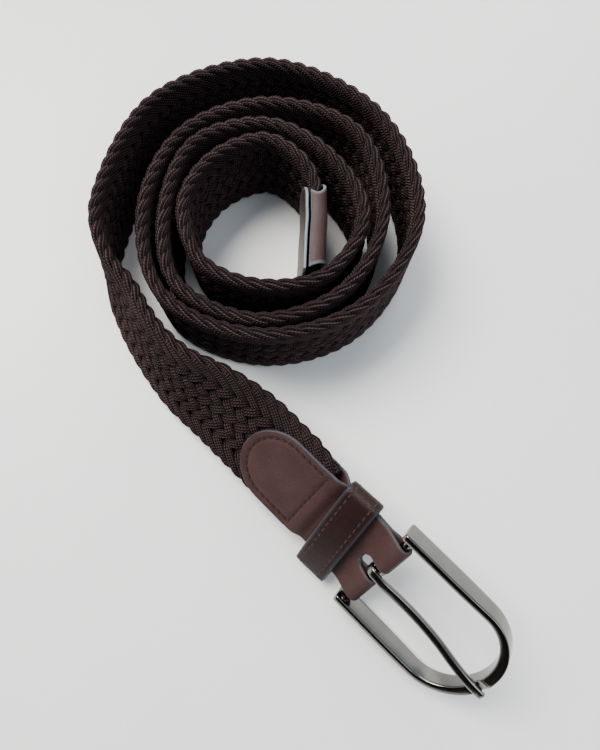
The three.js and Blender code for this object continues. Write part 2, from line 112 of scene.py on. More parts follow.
def lowerEdgeRows():
    # The strap's lower edge: the straight tip, the coil's eighths on circles, then the tail's rows.
    wallInside = coilRadius(coilTable[7], 0) - halfThickness - tip["clearance"]
    topShift = -2 * edgeReach * math.sin(math.radians(coil["tipLean"]))
    tipSide = coil["tipOffset"] + topShift + halfThickness + seatGap + tip["leather"]
    tipEnd = math.sqrt(wallInside ** 2 - tipSide ** 2)
    rows = [(coil["tipOffset"], -tipEnd * share, 0, coil["tipLean"]) for share in (1, 0.5, 0)]
    for turn in range(4):
        for row in coilTable:
            if (turn == 0 and row[0] == 0) or (turn == 3 and row[0] > 4):
                continue
            angle = row[0] * math.pi / 4
            radius = coilRadius(row, turn)
            lean = coil["tipLean"] / 2 if turn == 0 and row[0] == 1 else 0
            rows.append((radius * math.cos(angle), radius * math.sin(angle), 0, lean))
    x, y = rows[-1][:2]
    for right, near, lean, lift in tailTable:
        rows.append((x + tail["reach"] * right, y - tail["reach"] * near, endLift * lift, lean))
    x, y = rows[-1][:2]
    heading = math.radians(tail["heading"])
    for share in (0.3, 0.65, 1):
        run = tail["straightRun"] * share
        rows.append((x + run * math.cos(heading), y + run * math.sin(heading), endLift, tail["lean"]))
    return np.array(rows, float)


edgeRows = lowerEdgeRows()


def centripetal(points, share):
    # A centripetal Catmull-Rom curve through the points: a cubic on each span, from its two
    # ends and slopes.
    count = len(points)
    place = np.clip(share, 0, 1) * (count - 1)
    span = np.minimum(np.floor(place).astype(int), count - 2)
    weight = (place - span)[:, None]
    wide = np.vstack([2 * points[0] - points[1], points, 2 * points[-1] - points[-2]])
    a, b, c, d = wide[span], wide[span + 1], wide[span + 2], wide[span + 3]
    pairs = ((a, b), (b, c), (c, d))
    ab, bc, cd = (np.sqrt(np.linalg.norm(q - p, axis=1))[:, None] for p, q in pairs)
    start = ((b - a) / ab - (c - a) / (ab + bc) + (c - b) / bc) * bc
    end = ((c - b) / bc - (d - b) / (bc + cd) + (d - c) / cd) * bc
    square = -3 * b + 3 * c - 2 * start - end
    cube = 2 * b - 2 * c + start + end
    return b + start * weight + square * weight ** 2 + cube * weight ** 3


def plainSpline(values, share):
    # A uniform Catmull-Rom curve of single values.
    count = len(values)
    place = np.clip(share, 0, 1) * (count - 1)
    span = np.minimum(np.floor(place).astype(int), count - 2)
    weight = place - span
    b, c = values[span], values[span + 1]
    start = (c - values[np.maximum(span - 1, 0)]) / 2
    end = (values[np.minimum(span + 2, count - 1)] - b) / 2
    return b + start * weight + (-3 * b + 3 * c - 2 * start - end) * weight ** 2 \
        + (2 * b - 2 * c + start + end) * weight ** 3


def unit(vectors):
    # Each vector divided by its length.
    return vectors / np.linalg.norm(vectors, axis=-1, keepdims=True)


def axesAtShare(share):
    # Middle line, run, up and out of the strap at shares of its rows.
    share = np.asarray(share, float)
    run = centripetal(edgeRows[:, :3], share + 1e-4) - centripetal(edgeRows[:, :3], share - 1e-4)
    run[:, 2] = 0
    run = unit(run)
    lean = np.radians(plainSpline(edgeRows[:, 3], share))[:, None]
    aside = np.cross(run, [0, 0, 1])
    up = np.array([0, 0, 1]) * np.cos(lean) - aside * np.sin(lean)
    out = np.cross(run, up)
    middle = centripetal(edgeRows[:, :3], share) + up * edgeReach
    middle[:, 2] += halfThickness
    return middle, run, up, out


fineShares = np.linspace(0, 1, 3001)
fineAxes = axesAtShare(fineShares)
fineLengths = np.concatenate([[0], np.cumsum(np.linalg.norm(np.diff(fineAxes[0], axis=0), axis=1))])
strapLength = fineLengths[-1]


def axesAt(along):
    # The same axes at distances along the strap, read from the table of lengths.
    return axesAtShare(np.interp(np.ravel(along), fineLengths, fineShares))


def onStrap(along, across, height):
    # Points of the strap's space: distance from the tip, place across the width and height out
    # of the face.
    along, across, height = np.broadcast_arrays(along, across, height)
    middle, run, up, out = axesAt(along)
    beyond = np.ravel(along) - np.clip(np.ravel(along), 0, strapLength)
    points = middle + up * np.ravel(across)[:, None] + out * np.ravel(height)[:, None] \
        + run * beyond[:, None]
    return points.reshape(along.shape + (3,))


def tipReachAt(across, halfWidth):
    # A half ellipse past the tip leather's straight length.
    share = np.minimum(1, np.abs(across) / halfWidth)
    return tip["length"] + tip["round"] * np.sqrt(np.maximum(0, 1 - share ** 2))


def smoothStep(x, low, high):
    # Zero below low, one above high and an S curve between them.
    share = np.clip((x - low) / (high - low), 0, 1)
    return share * share * (3 - 2 * share)


tuckedReach = edgeReach - tip["leather"] - seatGap
tipInner = halfThickness + seatGap
tuckEnd = float(tipReachAt(tuckedReach, tuckedReach + tipInner)) + strap["stationStep"]

# The belt is laid so that its solid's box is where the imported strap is.
stops = round((strapLength - tip["inset"]) / strap["stationStep"])
stations = tip["inset"] + (strapLength - tip["inset"]) * np.arange(stops + 1) / stops
roundAngle = np.pi * (np.arange(strap["roundSteps"] + 1) / strap["roundSteps"] - 0.5)
tipFree = smoothStep(stations, tuckEnd, tuckEnd + tip["tuckRun"])
stationReach = edgeReach - (tip["leather"] + seatGap) * (1 - tipFree) \
    - tail["endTuck"] * smoothStep(stations, strapLength - tail["endTuckRun"], strapLength)
ownRings = np.concatenate([
    onStrap(stations[:, None], side * (stationReach[:, None] + halfThickness * np.cos(roundAngle)),
            side * halfThickness * np.sin(roundAngle)) for side in (1, -1)])
packedLow = np.array(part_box("braided_strap")[0]) / millimetre
shift = packedLow - ownRings.reshape(-1, 3).min(0)
print("stage: strap path,", round(float(strapLength), 1), "mm long, shift", shift.round(3))

endMiddle, endRun, endUp, endOut = (values[0] for values in axesAt([strapLength]))
endOrigin = endMiddle + endRun * tab["neckLength"] + endOut * tail["strapDrop"]


def inEndFrame(x, y, z):
    # Points of the leaning end frame: x towards the nose, y across, z out of the face.
    x, y, z = (np.asarray(value, float)[..., None] for value in np.broadcast_arrays(x, y, z))
    return endOrigin + endRun * x + endUp * y + endOut * z


def placed(points):
    # From the strap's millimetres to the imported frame's metres.
    return (np.asarray(points) + shift) * millimetre


def meshPiece(name, points, faces, material, body, nodes=(), uv=None, attributes=None):
    # A mesh object from arrays, in the row frame, riding on a body.
    mesh = bpy.data.meshes.new(name)
    mesh.from_pydata(placed(points), [], faces.tolist() if hasattr(faces, "tolist") else faces)
    mesh.polygons.foreach_set("use_smooth", [True] * len(mesh.polygons))
    if uv is not None:
        corners = np.zeros(len(mesh.loops), int)
        mesh.loops.foreach_get("vertex_index", corners)
        layer = mesh.uv_layers.new(name="UVMap")
        layer.data.foreach_set("uv", np.asarray(uv, np.float32)[corners].ravel())
    for label, values in (attributes or {}).items():
        mesh.attributes.new(label, "FLOAT", "POINT").data.foreach_set("value", np.asarray(values, np.float32))
    mesh.update()
    piece = bpy.data.objects.new(name, mesh)
    bpy.context.scene.collection.objects.link(piece)
    mesh.materials.append(material)
    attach(piece, body)
    if nodes:
        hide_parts(*nodes)
    return piece


def gridFaces(rows, columns, wrap=False):
    # Quads of a grid of points, row after row. A wrapped grid closes each row on itself.
    across = np.arange(columns if wrap else columns - 1)
    row = np.arange(rows - 1)[:, None] * columns
    nextAcross = (across + 1) % columns
    return np.stack([row + across, row + nextAcross, row + columns + nextAcross, row + columns + across],
                    axis=-1).reshape(-1, 4)


# Shared shader effects

def newGroup(name, inputs, outputs):
    # A shader node group with its named sockets.
    group = bpy.data.node_groups.new(name, "ShaderNodeTree")
    for label, kind, value in inputs:
        item = group.interface.new_socket(label, in_out="INPUT", socket_type=kind)
        if value is not None:
            item.default_value = value
    for label, kind in outputs:
        group.interface.new_socket(label, in_out="OUTPUT", socket_type=kind)
    return group, group.nodes.new("NodeGroupInput"), group.nodes.new("NodeGroupOutput")


def node(tree, kind, links=None, **settings):
    # A node with its settings; each input gets a link or a plain value.
    made = tree.nodes.new(kind)
    for label, value in settings.items():
        setattr(made, label, value)
    for label, value in (links or {}).items():
        if isinstance(value, bpy.types.NodeSocket):
            tree.links.new(value, made.inputs[label])
        else:
            made.inputs[label].default_value = value
    return made


def yarnGroup():
    # Twisted yarn: slanted ridges across a cord's length in UV, with fibre noise, and painted light and
    # shade: the crown attribute paints shade into the grooves and hidden parts and a highlight onto the
    # cords' tops and twist ridges.
    group, given, result = newGroup("yarnPaintedShadeAndHighlight", [
        ("Base", "NodeSocketColor", (0.03, 0.02, 0.02, 1)),
        ("Light", "NodeSocketColor", (0.2, 0.15, 0.15, 1)),
        ("PaintedShade", "NodeSocketColor", (0.005, 0.004, 0.004, 1))],
        [("Color", "NodeSocketColor"), ("Height", "NodeSocketFloat"), ("Roughness", "NodeSocketFloat")])
    uv = node(group, "ShaderNodeUVMap", uv_map="UVMap")
    split = node(group, "ShaderNodeSeparateXYZ", {0: uv.outputs[0]})
    slant = node(group, "ShaderNodeMath", {0: split.outputs[1], 1: 0.9}, operation="MULTIPLY")
    turn = node(group, "ShaderNodeMath", {0: split.outputs[0], 1: slant.outputs[0]}, operation="ADD")
    wave = node(group, "ShaderNodeMath", {0: turn.outputs[0], 1: 2 * math.pi / 0.9}, operation="MULTIPLY")
    ridge = node(group, "ShaderNodeMath", {0: wave.outputs[0]}, operation="SINE")
    objectPlace = node(group, "ShaderNodeTexCoord")
    fibre = node(group, "ShaderNodeTexNoise", {"Vector": objectPlace.outputs["Object"], "Scale": 2600.0,
                                               "Detail": 3.0, "Roughness": 0.6})
    wide = node(group, "ShaderNodeTexNoise", {"Vector": objectPlace.outputs["Object"], "Scale": 45.0,
                                              "Detail": 2.0})
    half = node(group, "ShaderNodeMath", {0: ridge.outputs[0], 1: 0.5}, operation="MULTIPLY")
    raised = node(group, "ShaderNodeMath", {0: half.outputs[0], 1: fibre.outputs[0]}, operation="ADD")
    # The crown attribute is high on the cords' exposed tops and low in grooves and hidden parts; it sets
    # where shade and highlight are painted.
    height = node(group, "ShaderNodeAttribute", attribute_name="crown")
    thread = node(group, "ShaderNodeMapRange", {"Value": raised.outputs[0], "From Min": 0.0, "From Max": 1.0,
                                                "To Min": 0.15, "To Max": 1.0})
    steep = node(group, "ShaderNodeMath", {0: height.outputs["Fac"], 1: 2.0}, operation="POWER")
    mixed = node(group, "ShaderNodeMath", {0: thread.outputs[0], 1: steep.outputs[0]}, operation="MULTIPLY")
    patchy = node(group, "ShaderNodeMapRange", {"Value": wide.outputs[0], "To Min": 0.5, "To Max": 1.4})
    varied = node(group, "ShaderNodeMath", {0: patchy.outputs[0], 1: mixed.outputs[0]}, operation="MULTIPLY",
                  use_clamp=True)
    # Painted shade: the colour goes to the shade colour where the crown is low.
    dark = node(group, "ShaderNodeMix", {"Factor": height.outputs["Fac"], "A": given.outputs["PaintedShade"],
                                         "B": given.outputs["Base"]}, data_type="RGBA")
    # Painted highlight: the cords' tops and the twist ridges get the highlight colour.
    light = node(group, "ShaderNodeMix", {"Factor": varied.outputs[0], "A": dark.outputs["Result"],
                                          "B": given.outputs["Light"]}, data_type="RGBA")
    rough = node(group, "ShaderNodeMapRange", {"Value": fibre.outputs[0], "To Min": 0.62, "To Max": 0.9})
    group.links.new(light.outputs["Result"], result.inputs["Color"])
    group.links.new(raised.outputs[0], result.inputs["Height"])
    group.links.new(rough.outputs[0], result.inputs["Roughness"])
    return group


def grainGroup():
    # Leather grain: small cells and pores over soft creases, darker in the creases, pale on raw
    # edges.
    group, given, result = newGroup("leatherGrain", [
        ("Base", "NodeSocketColor", (0.1, 0.06, 0.06, 1)), ("Worn", "NodeSocketColor", (0.2, 0.13, 0.13, 1)),
        ("Raw", "NodeSocketColor", (0.3, 0.28, 0.32, 1)), ("Gloss", "NodeSocketFloat", 0.45)],
        [("Color", "NodeSocketColor"), ("Height", "NodeSocketFloat"), ("Roughness", "NodeSocketFloat")])
    place = node(group, "ShaderNodeTexCoord")
    cells = node(group, "ShaderNodeTexVoronoi", {"Vector": place.outputs["Object"], "Scale": 1500.0},
                 feature="DISTANCE_TO_EDGE")
    pores = node(group, "ShaderNodeTexNoise", {"Vector": place.outputs["Object"], "Scale": 2400.0,
                                               "Detail": 4.0})
    patches = node(group, "ShaderNodeTexNoise", {"Vector": place.outputs["Object"], "Scale": 110.0,
                                                 "Detail": 3.0})
    cell = node(group, "ShaderNodeMapRange", {"Value": cells.outputs["Distance"], "From Max": 0.12})
    height = node(group, "ShaderNodeMath", {0: pores.outputs[0], 1: cell.outputs[0]}, operation="ADD")
    edge = node(group, "ShaderNodeAttribute", attribute_name="rawEdge")
    shade = node(group, "ShaderNodeMath", {0: patches.outputs[0], 1: pores.outputs[0]}, operation="MULTIPLY")
    strong = node(group, "ShaderNodeMath", {0: shade.outputs[0], 1: 2.4}, operation="MULTIPLY",
                  use_clamp=True)
    body = node(group, "ShaderNodeMix", {"Factor": strong.outputs[0], "A": given.outputs["Base"],
                                         "B": given.outputs["Worn"]}, data_type="RGBA")
    rim = node(group, "ShaderNodeMix", {"Factor": edge.outputs["Fac"], "A": body.outputs["Result"],
                                        "B": given.outputs["Raw"]}, data_type="RGBA")
    spread = node(group, "ShaderNodeMapRange", {"Value": pores.outputs[0], "To Min": -0.08, "To Max": 0.12})
    rough = node(group, "ShaderNodeMath", {0: given.outputs["Gloss"], 1: spread.outputs[0]}, operation="ADD")
    group.links.new(rim.outputs["Result"], result.inputs["Color"])
    group.links.new(height.outputs[0], result.inputs["Height"])
    group.links.new(rough.outputs[0], result.inputs["Roughness"])
    return group


def metalGroup():
    # Polished metal with faint handling marks: a broad cloudiness and fine scratches.
    group, given, result = newGroup("metalMarks", [
        ("Base", "NodeSocketColor", (0.4, 0.39, 0.37, 1)), ("Dull", "NodeSocketColor", (0.2, 0.19, 0.18, 1)),
        ("Gloss", "NodeSocketFloat", 0.15)],
        [("Color", "NodeSocketColor"), ("Height", "NodeSocketFloat"), ("Roughness", "NodeSocketFloat")])
    place = node(group, "ShaderNodeTexCoord")
    cloud = node(group, "ShaderNodeTexNoise", {"Vector": place.outputs["Object"], "Scale": 160.0,
                                               "Detail": 4.0})
    fine = node(group, "ShaderNodeTexNoise", {"Vector": place.outputs["Object"], "Scale": 1800.0,
                                              "Detail": 5.0})
    mix = node(group, "ShaderNodeMix", {"Factor": cloud.outputs[0], "A": given.outputs["Base"],
                                        "B": given.outputs["Dull"]}, data_type="RGBA")
    spread = node(group, "ShaderNodeMapRange", {"Value": fine.outputs[0], "To Min": -0.03, "To Max": 0.09})
    rough = node(group, "ShaderNodeMath", {0: given.outputs["Gloss"], 1: spread.outputs[0]}, operation="ADD")
    group.links.new(mix.outputs["Result"], result.inputs["Color"])
    group.links.new(fine.outputs[0], result.inputs["Height"])
    group.links.new(rough.outputs[0], result.inputs["Roughness"])
    return group


def material(name, effect, values, bump, distance, shader):
    # A material whose colour, roughness and bump come from a shared effect.
    made = bpy.data.materials.new(name)
    made.use_nodes = True
    tree = made.node_tree
    bsdf = tree.nodes["Principled BSDF"]
    group = tree.nodes.new("ShaderNodeGroup")
    group.node_tree = effect
    for label, value in values.items():
        group.inputs[label].default_value = value
    relief = node(tree, "ShaderNodeBump", {"Strength": bump, "Distance": distance,
                                           "Height": group.outputs["Height"]})
    tree.links.new(group.outputs["Color"], bsdf.inputs["Base Color"])
    tree.links.new(group.outputs["Roughness"], bsdf.inputs["Roughness"])
    tree.links.new(relief.outputs[0], bsdf.inputs["Normal"])
    for label, value in shader.items():
        bsdf.inputs[label].default_value = value
    return made


yarn, grain, marks = yarnGroup(), grainGroup(), metalGroup()
# The braid: Base is its own colour; the darker colour is painted shade for its grooves and covered parts and
# the lighter one a painted highlight on its cords' tops.
braidMaterial = material("braidedCord", yarn, {
    "Base": (0.017, 0.0088, 0.0095, 1), "Light": (0.132, 0.080, 0.080, 1),
    "PaintedShade": (0.0010, 0.0006, 0.0009, 1)},
    0.9, 0.0004, {"Specular IOR Level": 0.10})
leatherMaterial = material("brownLeather", grain, {
    "Base": (0.024, 0.0095, 0.0085, 1), "Worn": (0.055, 0.024, 0.0215, 1), "Raw": (0.040, 0.042, 0.050, 1),
    "Gloss": 0.45}, 0.35, 0.0002, {"Specular IOR Level": 0.22})
tipMaterial = material("tipLeather", grain, {
    "Base": (0.022, 0.010, 0.009, 1), "Worn": (0.050, 0.026, 0.023, 1), "Raw": (0.17, 0.20, 0.21, 1),
    "Gloss": 0.42}, 0.35, 0.0002, {"Specular IOR Level": 0.28})
keeperMaterial = material("darkLeather", grain, {
    "Base": (0.0060, 0.0020, 0.0018, 1), "Worn": (0.018, 0.0072, 0.0065, 1), "Raw": (0.030, 0.035, 0.042, 1),
    "Gloss": 0.33}, 0.3, 0.0002, {"Specular IOR Level": 0.16})
metalMaterial = material("greyMetal", marks, {
    "Base": (0.235, 0.230, 0.213, 1), "Dull": (0.165, 0.160, 0.149, 1), "Gloss": 0.13}, 0.03, 0.0001,
    {"Metallic": 1.0})
# The threads: the darker colour is painted shade on each stitch's sunk half and the lighter one a painted
# highlight on its top.
threadMaterial = material("thread", yarn, {
    "Base": (0.012, 0.006, 0.006, 1), "Light": (0.045, 0.024, 0.022, 1), "PaintedShade": (0.002, 0.001, 0.001, 1)},
    0.5, 0.0001, {"Specular IOR Level": 0.3})
keeperThread = material("keeperThread", yarn, {
    "Base": (0.020, 0.009, 0.008, 1), "Light": (0.075, 0.036, 0.032, 1), "PaintedShade": (0.006, 0.003, 0.003, 1)},
    0.5, 0.0001, {"Specular IOR Level": 0.3})
print("stage: materials")

# The plait. Each strand runs to and fro across the strap, over and under the strands that cross it.
plait = {"strands": 17, "pitch": 5.2, "reach": 16.05, "rise": 1.08, "step": 1.25,
         "edgeRows": 3, "middleRows": 2,
         "halfWide": 1.62, "halfHigh": 1.08, "groups": 5, "end": 0.3, "start": 0.5,
         "slant": 36, "sharp": 0.987, "crossing": 0.42, "turning": 0.16, "closing": 1.5,
         "edgeNarrower": 0.24, "edgeThicker": 0.34, "underTab": 0.12, "underTip": 0.1, "cordWidth": 0.45}
period = plait["strands"] * plait["pitch"]
# One section of a strand: ten cords round a flat bundle, each a ridge between two grooves.
quarterAcross = np.array([0.80, 1.0, 0.85, 0.62, 0.31, 0.0, -0.31, -0.62, -0.85, -1.0])
quarterRise = np.array([0.0, 0.44, 0.66, 1.0, 0.56, 1.0, 0.56, 1.0, 0.66, 0.44])
lobeAcross = np.concatenate([quarterAcross, -quarterAcross])
lobeRise = np.concatenate([quarterRise, -quarterRise])
lobeRidge = np.tile([0.0, 1.0], 10)


def overUnder(across):
    # Plus one where a falling strand lies on top and minus one where it dives, smooth between
    # crossings.
    crossings = plait["strands"] - 1
    place = (plait["reach"] - across) / (2 * plait["reach"]) * plait["strands"]
    bounds = [plait["edgeRows"] + 0.5]
    while bounds[-1] + plait["middleRows"] < crossings - plait["edgeRows"] + 1:
        bounds.append(bounds[-1] + plait["middleRows"])
    side = np.ones_like(place)
    for bound in bounds:
        side = side * -np.tanh((place - bound) / plait["crossing"])
    return side


def strandPath(index):
    # One strand in strap space: along, across and height, with how near it is to a long edge.
    first = plait["start"]
    last = strapLength - plait["end"]
    along = np.arange(first, last, plait["step"] * math.cos(math.radians(plait["slant"])))
    angle = 2 * np.pi * (along / period + index / plait["strands"])
    swing = np.arcsin(plait["sharp"] * np.sin(angle)) / math.asin(plait["sharp"])
    across = plait["reach"] * swing
    direction = np.tanh(np.cos(angle) / plait["turning"])
    height = -plait["rise"] * overUnder(across) * direction
    nearEdge = smoothStep(np.abs(swing), 0.86, 1.0)
    return along, across, height, nearEdge


def strandMesh(index):
    # Rings of the lobed section along one strand, squared up and thickened where it turns round
    # an edge.
    along, across, height, nearEdge = strandPath(index)
    tucked = 1 - (tip["leather"] + seatGap + 0.3) / plait["reach"] \
        * (1 - smoothStep(along, tuckEnd - 2, tuckEnd + tip["tuckRun"])) \
        - tail["endTuck"] / plait["reach"] * smoothStep(along, strapLength - tail["endTuckRun"], strapLength)
    covered = smoothStep(along, strapLength + tab["neckLength"] - tab["length"] - 1,
                         strapLength + tab["neckLength"] - tab["length"] + 5) \
        * (np.abs(across) < tab["width"] / 2)
    squeezed = 1 - plait["underTab"] * covered - plait["underTip"] * (along < tuckEnd)
    across = across * tucked
    centre = onStrap(along, across, height * squeezed)
    out = axesAt(along)[3]
    tangent = unit(np.gradient(centre, axis=0))
    aside = unit(np.cross(out, tangent))
    proud = np.cross(tangent, aside)
    toEnd = np.minimum(along - along[0], along[-1] - along)
    closing = np.sqrt(np.clip(toEnd / plait["closing"], 0.001, 1))
    wide = plait["halfWide"] * (1 - plait["edgeNarrower"] * nearEdge) * closing
    high = plait["halfHigh"] * (1 + plait["edgeThicker"] * nearEdge) * squeezed * closing
    points = centre[:, None] + aside[:, None] * (lobeAcross[None, :, None] * wide[:, None, None]) \
        + proud[:, None] * (lobeRise[None, :, None] * high[:, None, None])
    lengths = np.concatenate([[0], np.cumsum(np.linalg.norm(np.diff(centre, axis=0), axis=1))])
    girth = np.arange(len(lobeAcross))[None] * plait["cordWidth"]
    uv = np.stack(np.broadcast_arrays(lengths[:, None], girth), axis=-1)
    # Painted shade and highlight: crown is zero in the grooves between cords, low where the strand lies under
    # its neighbours and high on its exposed cords and round the edge turns; the yarn shader paints low crown
    # as shade and high crown as highlight.
    outward = height[:, None] / plait["rise"] * np.sign(lobeRise)[None]
    crown = (0.1 + 0.9 * np.clip(0.5 + 0.5 * outward, 0, 1)) * lobeRidge[None]
    crown = np.maximum(crown, 0.95 * nearEdge[:, None] * lobeRidge[None])
    faces = gridFaces(len(along), len(lobeAcross), wrap=True)
    return points.reshape(-1, 3), faces, uv.reshape(-1, 2), crown.ravel()


def shadeSheetMesh():
    # A flat sheet that closes the holes between the strands and blocks light there; with a crown of zero it
    # takes the braid's painted shade colour, a dark sheet standing in for the shade deep inside the braid.
    angles = np.linspace(0, 2 * np.pi, 13)[:-1]
    stretch = np.arange(tip["inset"] + 1, strapLength - 1, 3.0)
    flattened = np.sign(np.cos(angles)) * np.abs(np.cos(angles)) ** 0.4
    points = onStrap(stretch[:, None], (plait["reach"] - 4.0) * flattened, 0.5 * np.sin(angles))
    faces = gridFaces(len(stretch), len(angles), wrap=True)
    return points.reshape(-1, 3), faces, np.zeros((points.shape[0] * points.shape[1], 2)), \
        np.zeros(points.shape[0] * points.shape[1])


def joined(parts):
    # Several meshes as one: their points and faces after each other.
    firsts = np.cumsum([0] + [len(part[0]) for part in parts[:-1]])
    faces = np.concatenate([part[1] + first for part, first in zip(parts, firsts)])
    points, *others = (np.concatenate(column) for column in zip(*(part[:1] + part[2:] for part in parts)))
    return (points, faces, *others)


for number in range(plait["groups"]):
    members = [strandMesh(index) for index in range(number, plait["strands"], plait["groups"])]
    if number == 0:
        # The dark sheet of painted shade between the strands goes with the first group.
        members.append(shadeSheetMesh())
    points, faces, uv, crown = joined(members)
    meshPiece(f"braid_strands_{number + 1}", points, faces, braidMaterial, "belt",
              ("braided_strap",), uv, {"crown": crown})
print("stage: braid")


# Leather

stitching = {"inset": 2.6, "pitch": 2.5, "length": 1.8, "radius": 0.32, "sink": 0.16, "cross": -30.6,
             "groove": 0.32, "grooveWidth": 0.6}


def shell(middle, normal, wall, borders, wrap=False):
    # A leather wall round a middle surface: half the wall to each side, thinning to nothing
    # like a half round at the borders. borders is each point's distance to the nearest border.
    rows, columns = middle.shape[:2]
    near = np.clip(borders / (wall / 2), 0, 1)
    half = wall / 2 * np.sqrt(np.clip(1 - (1 - near) ** 2, 0, 1))
    top = middle + normal * half[..., None]
    bottom = middle - normal * half[..., None]
    faces = gridFaces(rows, columns, wrap)
    points = np.concatenate([top.reshape(-1, 3), bottom.reshape(-1, 3)])
    both = np.concatenate([faces, faces[:, ::-1] + rows * columns])
    raw = np.clip(1.25 - borders / (wall * 0.4), 0, 1)
    return points, both, np.concatenate([raw.ravel(), raw.ravel()])


def eased(count, ends=3, share=0.012):
    # Grid lines from 0 to 1 that are crowded at both ends.
    crowd = share * np.linspace(0, 1, ends + 1)[:-1] ** 1.5
    return np.concatenate([crowd, np.linspace(share, 1 - share, count), (1 - crowd)[::-1]])


def cleaned(piece, distance=0.00001):
    # Joins the two sides of a leather wall along its borders.
    work = bmesh.new()
    work.from_mesh(piece.data)
    bmesh.ops.remove_doubles(work, verts=work.verts, dist=distance)
    bmesh.ops.recalc_face_normals(work, faces=work.faces)
    work.to_mesh(piece.data)
    work.free()
    return piece


def leatherPiece(name, middle, normal, wall, borders, finish, body, nodes, wrap=False):
    # A shell as a closed piece, with its raw edge kept as an attribute.
    points, faces, raw = shell(middle, normal, wall, borders, wrap)
    return cleaned(meshPiece(name, points, faces, finish, body, nodes, attributes={"rawEdge": raw}))


def tipWrap():
    # The section runs from one turned edge over the outer face to the other; each column runs
    # along the strap.
    radius = tipInner + tip["leather"] / 2
    start, stop = math.radians(-tip["turnIn"]), math.pi / 2
    arc = radius * (stop - start)
    total = 2 * arc + 2 * tuckedReach
    place = eased(60) * total
    firstAngle = start + np.clip(place, 0, arc) / radius
    lastAngle = stop - np.clip(place - arc - 2 * tuckedReach, 0, arc) / radius
    flat = tuckedReach - np.clip(place - arc, 0, 2 * tuckedReach)
    angle = np.where(place < arc, firstAngle, np.where(place > arc + 2 * tuckedReach, lastAngle, math.pi / 2))
    side = np.where(place < arc, 1, -1)
    across = np.where(place < arc, tuckedReach + radius * np.cos(angle),
                      np.where(place > arc + 2 * tuckedReach, -tuckedReach - radius * np.cos(angle), flat))
    height = radius * np.sin(angle)
    reachTo = tipReachAt(across, tuckedReach + tipInner + tip["leather"])
    first = tip["endSlant"] * np.minimum(0, tipInner * (np.sin(angle) - 1))
    along = first[None] + eased(26)[:, None] * (reachTo - first)[None]
    middle = onStrap(along, across[None], height[None])
    _, _, up, out = axesAt(along)
    sideways = np.broadcast_to(np.where(angle < math.pi / 2, side * np.cos(angle), 0), along.shape)
    outwards = np.broadcast_to(np.sin(angle), along.shape)
    normal = up * np.ravel(sideways)[:, None] + out * np.ravel(outwards)[:, None]
    normal = normal.reshape(along.shape + (3,))
    borders = np.minimum(np.minimum(along - first[None], reachTo[None] - along),
                         np.minimum(place, total - place)[None])
    leatherPiece("tip_leather", middle, unit(normal), tip["leather"], borders, tipMaterial, "belt",
                 ("tip_wrap",))


def tipBacking():
    # A flat sheet on the inner face: rows run along the strap and end on the half ellipse.
    halfWidth = tuckedReach + (tipInner + tip["leather"]) * math.cos(math.radians(tip["turnIn"]))
    across = (eased(40) * 2 - 1) * halfWidth
    reachTo = tipReachAt(across, halfWidth)
    first = -tip["backingExtra"]
    along = first + eased(26)[:, None] * (reachTo - first)[None]
    height = -tipInner - seatGap - tip["leather"] / 2
    middle = onStrap(along, across[None], height)
    normal = axesAt(along)[3].reshape(along.shape + (3,))
    borders = np.minimum(np.minimum(along - first, reachTo[None] - along), (halfWidth - np.abs(across))[None])
    leatherPiece("tip_backing_leather", middle, normal, tip["leather"], borders, tipMaterial, "belt",
                 ("tip_backing",))


def tabLine():
    # The strip's middle line in side view, from the front layer's end round the bar to the back
    # layer's end.
    tilt = math.radians(tab["neckTilt"])
    layer = halfThickness + seatGap + tab["leather"] / 2
    shoulder = -tab["neckLength"] + seatGap + tab["leather"]
    half = tab["leather"] / 2
    drop = tail["strapDrop"]
    share = np.linspace(0, 1, 12)
    neckX = neckStart + (neckEnd - neckStart) * share
    neckZ = neckFrom + neckRise * share ** 2
    slope = np.arctan(2 * neckRise * share / (neckEnd - neckStart))
    fold = loopRadius + half
    turn = np.linspace(tilt + math.pi / 2, tilt - math.pi / 2, 17)
    front = [np.stack([np.linspace(-tab["length"], shoulder - 1, 22), np.full(22, -drop + layer)], 1),
             np.stack([neckX - half * np.sin(slope), neckZ + half * np.cos(slope)], 1),
             fold * np.stack([np.cos(turn), np.sin(turn)], 1)]
    back = [np.stack([neckX + half * np.sin(slope), neckZ - half * np.cos(slope)], 1)[::-1],
            np.stack([np.linspace(shoulder - 1, -tab["length"], 22), np.full(22, -drop - layer)], 1)]
    line = np.concatenate(front + back)
    length = np.concatenate([[0], np.cumsum(np.linalg.norm(np.diff(line, axis=0), axis=1))])
    fine = np.linspace(0, length[-1], 400)
    smooth = np.stack([np.interp(fine, length, line[:, 0]), np.interp(fine, length, line[:, 1])], 1)
    for _ in range(6):
        smooth[1:-1] = (smooth[:-2] + 2 * smooth[1:-1] + smooth[2:]) / 4
    return fine, smooth


def stitchDistance(x, y):
    # How far a place on the patch is from its stitches: two straight rows, a half round and a
    # cross row.
    half = tab["width"] / 2 - stitching["inset"]
    apex = -tab["length"] + tab["width"] / 2
    around = np.where(x < apex, np.abs(np.hypot(x - apex, y) - half), np.abs(np.abs(y) - half))
    cross = np.hypot(x - stitching["cross"], np.maximum(0, np.abs(y) - half))
    return np.where(x > stitching["cross"], cross, np.minimum(around, cross))


